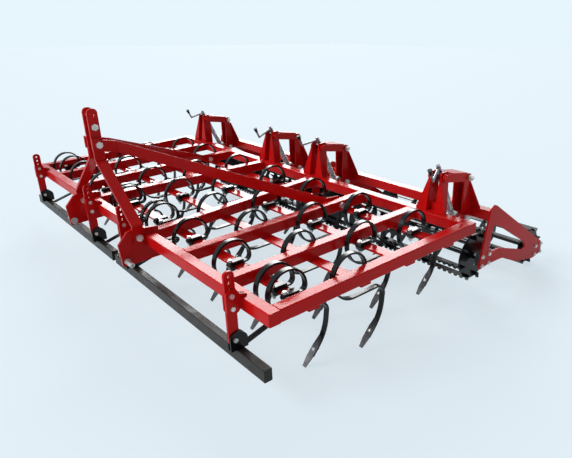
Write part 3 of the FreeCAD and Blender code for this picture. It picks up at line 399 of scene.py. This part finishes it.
# %% [markdown]
# ## Growing what repeats
# Bolts, threads and beads repeat, so Geometry Nodes grow them from a guide: a mesh of points, each with the
# direction that it faces, or a mesh of lines. Copying finished objects would be as quick, but a tree keeps
# its sizes as named inputs, and one tree serves every size. It ends in real geometry with its finish on,
# because instances are lost in an export.


# %% Grower
class Grower(NodeMaker):
    """A Geometry Nodes tree that is being built, with named sizes as its inputs."""

    def __init__(self, name, **sizes):
        super().__init__(bpy.data.node_groups.new(name, "GeometryNodeTree"))
        face = self.tree.interface
        face.new_socket("Guide", in_out="INPUT", socket_type="NodeSocketGeometry")
        face.new_socket("Finish", in_out="INPUT", socket_type="NodeSocketMaterial")
        for label, size in sizes.items():
            face.new_socket(label, in_out="INPUT", socket_type="NodeSocketFloat").default_value = size
        face.new_socket("Result", in_out="OUTPUT", socket_type="NodeSocketGeometry")
        self.inputs = self.node("NodeGroupInput").outputs

    def given(self, *labels):
        """The tree's inputs, by name."""
        values = [Value(self, self.inputs[label]) for label in labels]
        return values if len(values) > 1 else values[0]

    def lifted(self, shape, height):
        """A shape moved up its own axis."""
        place = self.value("ShaderNodeCombineXYZ", sockets={"Z": height})
        return self.value("GeometryNodeTransform", sockets={"Geometry": shape, "Translation": place})

    def prism(self, sides, radius, depth, foot):
        """An upright prism that stands at a height."""
        sockets = {"Vertices": sides, "Radius": radius, "Depth": depth}
        return self.lifted(self.value("GeometryNodeMeshCylinder", sockets=sockets), foot + depth * 0.5)

    def on_points(self, shape):
        """A copy of a shape on each point of the guide, its axis along the point's aim."""
        aim = self.value("GeometryNodeInputNamedAttribute", {"data_type": "FLOAT_VECTOR"}, {"Name": "aim"})
        turn = self.value("FunctionNodeAlignRotationToVector", {"axis": "Z"}, {"Vector": aim})
        points = self.value("GeometryNodeMeshToPoints", sockets={"Mesh": self.given("Guide")})
        return self.value("GeometryNodeInstanceOnPoints", sockets={
            "Points": points, "Instance": shape, "Rotation": turn})

    def finish(self, shape, smooth=False):
        real = self.value("GeometryNodeRealizeInstances", sockets={"Geometry": shape})
        shaded = self.value("GeometryNodeSetShadeSmooth", sockets={"Geometry": real, "Shade Smooth": smooth})
        dressed = self.value("GeometryNodeSetMaterial", sockets={
            "Geometry": shaded, "Material": self.given("Finish")})
        self.node("NodeGroupOutput", sockets={"Result": dressed})
        print("tree", self.tree.name, "nodes", len(self.tree.nodes))


# %% Guides
def facing_points(name, places):
    """A guide of points from (place, direction) pairs."""
    mesh = bpy.data.meshes.new(name)
    mesh.from_pydata([place for place, _ in places], [], [])
    aim = mesh.attributes.new("aim", "FLOAT_VECTOR", "POINT")
    for index, (_, direction) in enumerate(places):
        aim.data[index].vector = direction
    return mesh


def straight_lines(name, lines):
    """A guide of one edge for each (start, end) pair."""
    mesh = bpy.data.meshes.new(name)
    ends = [end for line in lines for end in line]
    mesh.from_pydata(ends, [(2 * number, 2 * number + 1) for number in range(len(lines))], [])
    return mesh


# %% Grow a piece
def grow(name, guide, grower, body, slot, **sizes):
    """Runs a tree on its guide, keeps the result as a plain mesh and puts it on a body."""
    holder = bpy.data.objects.new(name + "_guide", guide)
    bpy.context.scene.collection.objects.link(holder)
    modifier = holder.modifiers.new("grow", "NODES")
    modifier.node_group = grower.tree
    face = grower.tree.interface.items_tree
    sockets = {item.name: item.identifier for item in face if item.in_out == "INPUT"}
    modifier[sockets["Finish"]] = FINISHES[slot]
    for label, size in sizes.items():
        modifier[sockets[label]] = size
    mesh = bpy.data.meshes.new_from_object(holder.evaluated_get(bpy.context.evaluated_depsgraph_get()))
    bpy.data.objects.remove(holder)
    piece = bpy.data.objects.new(name, mesh)
    bpy.context.scene.collection.objects.link(piece)
    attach(piece, body)
    print(name, "faces", len(mesh.polygons))


def grow_on_points(name, places, grower, body, **sizes):
    """Bright fastenings, one on each place."""
    grow(name, facing_points(name, places), grower, body, "zinc_bolts", **sizes)


# %% [markdown]
# ## One tree for bolts and nuts
# A bolt head is a hexagon whose corners are turned off at the top, on a round washer. A nut is the same with
# the end of its thread showing. A bevel would round every edge, so the turned-off corners are a low cone on
# top of the prism. One tree grows both, and its inputs set the width over the flats, the height and the rest.

# %% Bolt and nut tree
CORNER_OVER_FLATS = 0.577
WASHER_OVER_FLATS = 0.64
STRAIGHT_SHARE, TURNED_SHARE = 0.82, 0.18
TURNED_TO = 0.86


def fastener_tree():
    g = Grower("fasteners", Flats=0.019, Height=0.0075, Washer=0.0025, Thread=0.0045, Stick=0.0006)
    flats, height, washer, thread, stick = g.given("Flats", "Height", "Washer", "Thread", "Stick")
    corner = flats * CORNER_OVER_FLATS
    straight = height * STRAIGHT_SHARE
    disc = g.prism(28, flats * WASHER_OVER_FLATS, washer, foot=0.0)
    hexagon = g.prism(6, corner, straight, foot=washer)
    cone = g.value("GeometryNodeMeshCone", sockets={
        "Vertices": 6, "Radius Top": corner * TURNED_TO, "Radius Bottom": corner,
        "Depth": height * TURNED_SHARE})
    crown = g.lifted(cone, washer + straight)
    end = g.prism(16, thread, stick, foot=washer + height)
    whole = g.value("GeometryNodeJoinGeometry", sockets={0: [disc, hexagon, crown, end]})
    g.finish(g.on_points(whole))
    return g


FASTENERS = fastener_tree()

# Sizes in metres: the head and the nut of a 12 mm bolt, and the nut of a link pin
HEAD_12 = {"Flats": 0.019}
NUT_12 = {"Flats": 0.019, "Height": 0.010, "Washer": 0.0022, "Thread": 0.0058}
PIN_NUT = {"Flats": 0.026, "Height": 0.011, "Washer": 0.002, "Thread": 0.0085, "Stick": 0.004}

# %% [markdown]
# ## Clamp bolts
# Each tine is held to its bar by a clamp with a bolt through its nose, ahead of the bar: the head is on top
# and the nut below. Across the machine the bolts follow the clamps, and along it the rows.

# %% Clamp bolts
FIRST_ROW, ROW_GAP = 234.0, 300.0
ROWS = [FIRST_ROW + ROW_GAP * number for number in range(4)]
CLAMP_AHEAD = 20.0
HEAD_AHEAD, HEAD_Z = 44.0, -37.0
NUT_AHEAD, NUT_Z = 38.0, -81.0


def clamp_places():
    heads, ends = [], []
    for low, high in CLAMPS:
        middle = level_place((low + high) / 2)
        row = min(ROWS, key=lambda y: abs(y - CLAMP_AHEAD - middle.y))
        heads.append((spot(middle.x, row - HEAD_AHEAD, HEAD_Z), facing(0, 0, 1)))
        ends.append((spot(middle.x, row - NUT_AHEAD, NUT_Z), facing(0, 0, -1)))
    return heads, ends


heads, ends = clamp_places()
grow_on_points("clamp_bolts", heads, FASTENERS, "frame", **HEAD_12)
grow_on_points("clamp_nuts", ends, FASTENERS, "frame", Stick=0.006, **NUT_12)

# %% [markdown]
# ## Bearing bolts and pin nuts
# Four bolts hold each bearing to its end plate, with the heads outside and the nuts on the housing. The link
# pins are held by a nut on the end that faces away from the tower. All of them ride on what they hold, so
# that they swing with the gang when its height is set.

# %% Bearing bolts
AXLES = ((1617.0, -337.0), (2225.0, -457.0))
OUTER_PLATE, INNER_PLATE = (1410.0, 1), (60.0, -1)
BOLT_SQUARE = [(-33, -29), (33, -29), (-33, 29), (33, 29)]
PLATE_AND_HOUSING = 38.0


def bearing_places(sign):
    heads, ends = [], []
    for face, outward in (OUTER_PLATE, INNER_PLATE):
        for y, z in AXLES:
            for along, up in BOLT_SQUARE:
                inside = face - outward * PLATE_AND_HOUSING
                heads.append((spot(sign * face, y + along, z + up), facing(sign * outward, 0, 0)))
                ends.append((spot(sign * inside, y + along, z + up), facing(-sign * outward, 0, 0)))
    return heads, ends


# %% Pin nuts
TOWERS = (-1.235, -0.260, 0.260, 1.235)


def pin_nut_places(node):
    places = []
    for low, high in loose_solids(node):
        middle = (low + high) / 2
        tower = min(TOWERS, key=lambda x: abs(x - middle.x))
        out = 1 if middle.x > tower else -1
        places.append((Vector((high.x if out > 0 else low.x, middle.y, middle.z)), Vector((out, 0, 0))))
    return places


def grow_pin_nuts(name, node, body):
    grow_on_points(name, pin_nut_places(node), FASTENERS, body, **PIN_NUT)


# %% Bolts and nuts of each gang
for side, sign in SIDES:
    heads, ends = bearing_places(sign)
    grow_on_points(side + "_bearing_bolts", heads, FASTENERS, side + "_gang", **HEAD_12)
    grow_on_points(side + "_bearing_nuts", ends, FASTENERS, side + "_gang", Stick=0.004, **NUT_12)
    grow_pin_nuts(side + "_rear_pin_nuts", side + "_rear_link_pins", side + "_gang")
grow_pin_nuts("front_pin_nuts", "front_link_pins", "frame")

# %% [markdown]
# ## Bolts of the points
# Each reversible point is held by one bolt with a low round head, polished by the soil, and a nut behind the
# tine. The points slope and curve, so a ray from in front finds the surface and its direction, and the head
# sits flat on it. A ray from behind does the same for the nut.


# %% Round head tree
def button_tree():
    g = Grower("buttons", Radius=0.009, Rise=0.004)
    radius, rise = g.given("Radius", "Rise")
    ball = g.value("GeometryNodeMeshUVSphere", sockets={"Segments": 20, "Rings": 10, "Radius": radius})
    squash = g.value("ShaderNodeCombineXYZ", sockets={"X": 1.0, "Y": 1.0, "Z": rise / radius})
    dome = g.value("GeometryNodeTransform", sockets={"Geometry": ball, "Scale": squash})
    g.finish(g.on_points(dome), smooth=True)
    return g


BUTTONS = button_tree()


# %% Bolts of the points
def skin(*names):
    """A search tree over the faces of some nodes."""
    vertices, faces = [], []
    for name in names:
        mesh = nodes[name].data
        base = len(vertices)
        vertices += [vertex.co.copy() for vertex in mesh.vertices]
        faces += [[base + corner for corner in face.vertices] for face in mesh.polygons]
    return BVHTree.FromPolygons(vertices, faces)


AHEAD_OF_POINT = Vector((0.0, -0.79, 0.61))
UP_THE_POINT = Vector((0.0, 0.61, 0.79))
RAY_START = AHEAD_OF_POINT * 0.08
BOLT_OFFSET = UP_THE_POINT * 0.012
FARTHEST_NUT = 0.05


def point_bolt_places():
    fronts = skin("tine_points")
    backs = skin("tines_row_1", "tines_row_2", "tines_row_3", "tines_row_4")
    heads, ends = [], []
    for low, high in POINTS:
        middle = (low + high) / 2 + BOLT_OFFSET
        hit, normal, _, _ = fronts.ray_cast(middle + RAY_START, -AHEAD_OF_POINT)
        heads.append((hit, normal))
        hit, normal, _, _ = backs.ray_cast(middle - RAY_START + BOLT_OFFSET, AHEAD_OF_POINT)
        if hit and (hit - middle).length < FARTHEST_NUT:
            ends.append((hit, normal))
    return heads, ends


heads, ends = point_bolt_places()
grow_on_points("share_bolts", heads, BUTTONS, "frame")
grow_on_points("share_nuts", ends, FASTENERS, "frame",
               Flats=0.017, Height=0.008, Washer=0.002, Thread=0.005, Stick=0.004)
print("point bolts", len(heads), "nuts", len(ends))

# %% [markdown]
# ## Screw threads
# The height of each gang is set by coarse screws. In the frame each is a plain rod, since a cut thread would
# cost thousands of faces. A bump could fake it, but a thread this coarse shows in its outline. So a spiral is
# swept with a thin outline, and the ridge winds round the rod from the trunnion to past the nut.


# %% Thread tree
def thread_tree():
    g = Grower("threads", Pitch=0.010, Length=0.3, Radius=0.017, Ridge=0.0036)
    pitch, length, radius, ridge = g.given("Pitch", "Length", "Radius", "Ridge")
    spiral = g.value("GeometryNodeCurveSpiral", sockets={
        "Resolution": 28, "Rotations": length / pitch, "Start Radius": radius, "End Radius": radius,
        "Height": length})
    outline = g.value("GeometryNodeCurvePrimitiveCircle", sockets={"Resolution": 6, "Radius": ridge * 0.5})
    thin = g.value("GeometryNodeTransform", sockets={"Geometry": outline, "Scale": (0.5, 1.0, 1.0)})
    swept = g.value("GeometryNodeCurveToMesh", sockets={
        "Curve": spiral, "Profile Curve": thin, "Fill Caps": True})
    g.finish(g.on_points(swept), smooth=True)
    return g


THREADS = thread_tree()

# %% Screw threads
TRUNNION = Vector((0.0, 0.24409, 0.71782))
NUT = Vector((0.0, 0.39416, 0.45284))
TRUNNION_HALF = 0.024
PAST_THE_NUT = 0.010
DOWN_THE_SCREW = (NUT - TRUNNION).normalized()

for side, sign in SIDES:
    starts = []
    for tower in TOWERS[2:]:
        top = TRUNNION + Vector((sign * tower, 0, 0))
        starts.append((top + DOWN_THE_SCREW * TRUNNION_HALF, DOWN_THE_SCREW))
    grow_on_points(side + "_threads", starts, THREADS, side + "_screws",
                   Length=(NUT - TRUNNION).length + PAST_THE_NUT)

# %% [markdown]
# ## Weld beads
# Tubes, bars and plates are joined by fillet welds: low beads with ripples across them, painted over. Without
# them beams seem to pass through each other. A straight rounded strip would look like filler, so the tree
# sweeps a small circle along each line and lets it swell and shrink with the distance along it.

# %% Bead tree
SWELL = 0.12


def bead_tree():
    g = Grower("beads", Radius=0.0035, Ripple=0.005)
    radius, ripple = g.given("Radius", "Ripple")
    line = g.value("GeometryNodeMeshToCurve", sockets={"Mesh": g.given("Guide")})
    fine = g.value("GeometryNodeResampleCurve", {"mode": "LENGTH"}, {"Curve": line, "Length": ripple * 0.4})
    along = g.value("GeometryNodeSplineParameter", output="Length")
    swell = (along / ripple * (2 * math.pi)).sine() * SWELL + 1.0
    outline = g.value("GeometryNodeCurvePrimitiveCircle", sockets={"Resolution": 7, "Radius": radius})
    bead = g.value("GeometryNodeCurveToMesh", sockets={
        "Curve": fine, "Profile Curve": outline, "Scale": swell, "Fill Caps": True})
    g.finish(bead, smooth=True)
    return g


BEADS = bead_tree()

# %% [markdown]
# ## Where the beads run
# A beam that meets a cross beam gets a bead down each side and one above and below. A tine bar gets one along
# each edge of the beam that lies on it. Plates and posts get theirs where they stand on the tubes.

# %% Beads of the beams
TUBE = 60.0
HALF = TUBE / 2
FRAME_LENGTH = 1340.0
HALF_WIDTH = 1500.0
HALF_BAR = 27.0
DOWN_THE_SIDE = (-7, -53)
OVER_AND_UNDER = (-2.0, -58.0)
HALF_FLAT_BEAD = 23
ON_THE_BARS = -59
BEAMS = [(sign * x, sign * x) for x in (1470.0, 1125.0, 745.0) for sign in (-1, 1)]
BEAMS += [(-390.0, -285.0), (390.0, 285.0)]


def beam_end_beads(front_x, rear_x):
    lines = []
    for y, x in ((TUBE, front_x), (FRAME_LENGTH - TUBE, rear_x)):
        for edge in (-HALF, HALF):
            if abs(x + edge) < HALF_WIDTH - 1.0:
                lines.append(tuple((x + edge, y, z) for z in DOWN_THE_SIDE))
        for z in OVER_AND_UNDER:
            lines.append(((x - HALF_FLAT_BEAD, y, z), (x + HALF_FLAT_BEAD, y, z)))
    return lines


def bar_beads(front_x, rear_x):
    lines = []
    for row in ROWS:
        ends = []
        for y in (row - HALF_BAR, row + HALF_BAR):
            share = (y - TUBE) / (FRAME_LENGTH - 2 * TUBE)
            ends.append((front_x + (rear_x - front_x) * share, y))
        for edge in (-HALF + 2, HALF - 2):
            if abs(ends[0][0] + edge) < HALF_WIDTH - 5.0:
                lines.append(tuple((x + edge, y, ON_THE_BARS) for x, y in ends))
    return lines


# %% Beads of the plates and posts
HITCH_FACES = (397.5, 412.5)
POST_PLACES, POST_HALF = (250.0, 1300.0), 14
TOWER_PLACES, TOWER_HALF = (260.0, 1235.0), 36
CORNER_GAP = 8


def plate_beads(sign):
    lines = []
    for face in HITCH_FACES:
        lines.append(((sign * face, CORNER_GAP, 0), (sign * face, TUBE - CORNER_GAP, 0)))
        lines.append(((sign * face, 0, -CORNER_GAP), (sign * face, 0, CORNER_GAP - TUBE)))
    for places, half, y in ((POST_PLACES, POST_HALF, 0), (TOWER_PLACES, TOWER_HALF, FRAME_LENGTH)):
        for place in places:
            for face in (place - half, place + half):
                lines.append(((sign * face, y, -CORNER_GAP), (sign * face, y, CORNER_GAP - TUBE)))
    return lines


# %% Beads of the gang beams
GANG_FRONT, GANG_BACK, GANG_TOP, GANG_BOTTOM = 1640, 1700, -50, -110
GANG_PLATES = (72.0, 1398.0)


def gang_beads(sign):
    lines = []
    for x in GANG_PLATES:
        for z in (GANG_TOP, GANG_BOTTOM):
            lines.append(((sign * x, GANG_FRONT + CORNER_GAP, z), (sign * x, GANG_BACK - CORNER_GAP, z)))
        for y in (GANG_FRONT, GANG_BACK):
            lines.append(((sign * x, y, GANG_TOP - CORNER_GAP), (sign * x, y, GANG_BOTTOM + CORNER_GAP)))
    return lines


def grow_beads(name, lines, body):
    guide = straight_lines(name, [(spot(*start), spot(*end)) for start, end in lines])
    grow(name, guide, BEADS, body, "red_paint")


frame_lines = []
for front_x, rear_x in BEAMS:
    frame_lines += beam_end_beads(front_x, rear_x) + bar_beads(front_x, rear_x)
for sign in (-1, 1):
    frame_lines += plate_beads(sign)
grow_beads("frame_beads", frame_lines, "frame")
for side, sign in SIDES:
    grow_beads(side + "_gang_beads", gang_beads(sign), side + "_gang")
print("beads on the frame", len(frame_lines))

# %% [markdown]
# ## Floor and sky
# The machine stands on a plain pale blue floor that fades into the sky. A floor bright enough for that would
# need so much light that the paint burns out. Instead Light Path tells who is looking: the camera and mirrors
# see a pale glow mixed into the floor, while the light that falls on the machine comes from a dimmer sky. The
# floor keeps part of its own paint, and with it the machine's shadow.

# %% Floor and sky
FLOOR = (0.76, 0.84, 0.88)
SKY = (0.80, 0.91, 0.98)
FLOOR_GLOW = 0.7
SOFT_LIGHT = 0.34
REACH = 40.0
JUST_BELOW = -0.001


def seen_ray(maker):
    """1 for what the camera, a mirror or glass sees, and 0 for the light on the machine."""
    path = maker.node("ShaderNodeLightPath").outputs
    kinds = ("Is Camera Ray", "Is Glossy Ray", "Is Transmission Ray")
    camera, mirror, glass = (Value(maker, path[kind]) for kind in kinds)
    return camera.or_more(mirror).or_more(glass)


def pale_floor():
    mesh = bpy.data.meshes.new("floor")
    corners = [(-REACH, -REACH, 0), (REACH, -REACH, 0), (REACH, REACH, 0), (-REACH, REACH, 0)]
    mesh.from_pydata(corners, [], [(0, 1, 2, 3)])
    floor = bpy.data.objects.new("floor", mesh)
    floor.location.z = JUST_BELOW
    bpy.context.scene.collection.objects.link(floor)
    paint = Surface("floor_paint")
    paint.feed("Roughness", 0.9)
    paint.feed("Specular IOR Level", 0.1)
    paint.feed("Base Color", (*FLOOR, 1.0))
    glow = paint.value("ShaderNodeEmission", sockets={"Color": (*SKY, 1.0)})
    amount = seen_ray(paint) * FLOOR_GLOW
    mixed = paint.value("ShaderNodeMixShader", sockets={0: amount, 1: paint.shader.outputs[0], 2: glow})
    paint.plug(paint.first("OUTPUT_MATERIAL").inputs["Surface"], mixed)
    mesh.materials.append(paint.material)


def pale_sky():
    world = bpy.data.worlds.new("studio")
    bpy.context.scene.world = world
    world.use_nodes = True
    sky = NodeMaker(world.node_tree)
    soft = sky.first("BACKGROUND")
    sky.plug(soft.inputs["Color"], (0.93, 0.96, 1.0, 1.0))
    sky.plug(soft.inputs["Strength"], SOFT_LIGHT)
    seen = sky.value("ShaderNodeBackground", sockets={"Color": (*SKY, 1.0), "Strength": 1.0})
    mixed = sky.value("ShaderNodeMixShader", sockets={0: seen_ray(sky), 1: soft.outputs[0], 2: seen})
    sky.plug(sky.first("OUTPUT_WORLD").inputs["Surface"], mixed)


pale_floor()
pale_sky()
print("floor", FLOOR, "sky", SKY)

# %% [markdown]
# ## Lamps
# Wide, soft lamps stand far off, so every part of the long machine gets the same light. One is behind and
# left, as in the photograph, and one in front fills the faces towards the camera. The tops of the beams gleam
# almost white there. More light for that would bleach the red, so a third lamp shows only in the gloss.

# %% Lamps
def far_lamp(name, toward, softness, power):
    """A lamp from far off: toward points at it, softness is its width in degrees."""
    lamp = bpy.data.lights.new(name, "SUN")
    lamp.energy = power
    lamp.angle = math.radians(softness)
    holder = bpy.data.objects.new(name, lamp)
    holder.rotation_euler = Vector(toward).to_track_quat("Z", "Y").to_euler()
    bpy.context.scene.collection.objects.link(holder)
    print("lamp", name, "power", power)
    return holder


far_lamp("back", (-0.83, 0.56, 0.46), softness=34.0, power=2.2)
far_lamp("front", (-0.35, -0.80, 0.62), softness=30.0, power=2.0)
sheen = far_lamp("sheen", (-0.80, 0.60, 0.48), softness=44.0, power=1.9)
sheen.visible_diffuse = False

# %% [markdown]
# ## Camera
# The camera was found from the corners of the frame in the photograph: its place, its three turns and its
# focal length in pixels. Blender wants a lens in millimetres on a sensor of a known width, so the focal
# length is scaled by the sensor's width over the picture's.

# %% Camera
IMAGE_WIDTH = 572.0
FOCAL_PIXELS = 547.56
SENSOR_WIDTH = 36.0
CAMERA_PLACE = Vector((2.9638, -2.2102, 1.4537))
CAMERA_YAW = math.radians(51.25)
CAMERA_PITCH = math.radians(20.15)
CAMERA_ROLL = math.radians(0.648)


def photo_camera():
    """A camera that looks left of +Y by the yaw and down by the pitch."""
    data = bpy.data.cameras.new("photo_camera")
    data.sensor_fit = "HORIZONTAL"
    data.sensor_width = SENSOR_WIDTH
    data.lens = FOCAL_PIXELS / IMAGE_WIDTH * SENSOR_WIDTH
    data.clip_end = 200.0
    camera = bpy.data.objects.new("photo_camera", data)
    turn = Matrix.Rotation(CAMERA_YAW, 4, "Z") @ Matrix.Rotation(math.pi / 2 - CAMERA_PITCH, 4, "X")
    camera.matrix_world = Matrix.Translation(CAMERA_PLACE) @ turn @ Matrix.Rotation(CAMERA_ROLL, 4, "Z")
    bpy.context.scene.collection.objects.link(camera)
    bpy.context.scene.camera = camera
    print("lens", round(data.lens, 2), "mm")


photo_camera()
bpy.context.scene.view_settings.view_transform = "Standard"
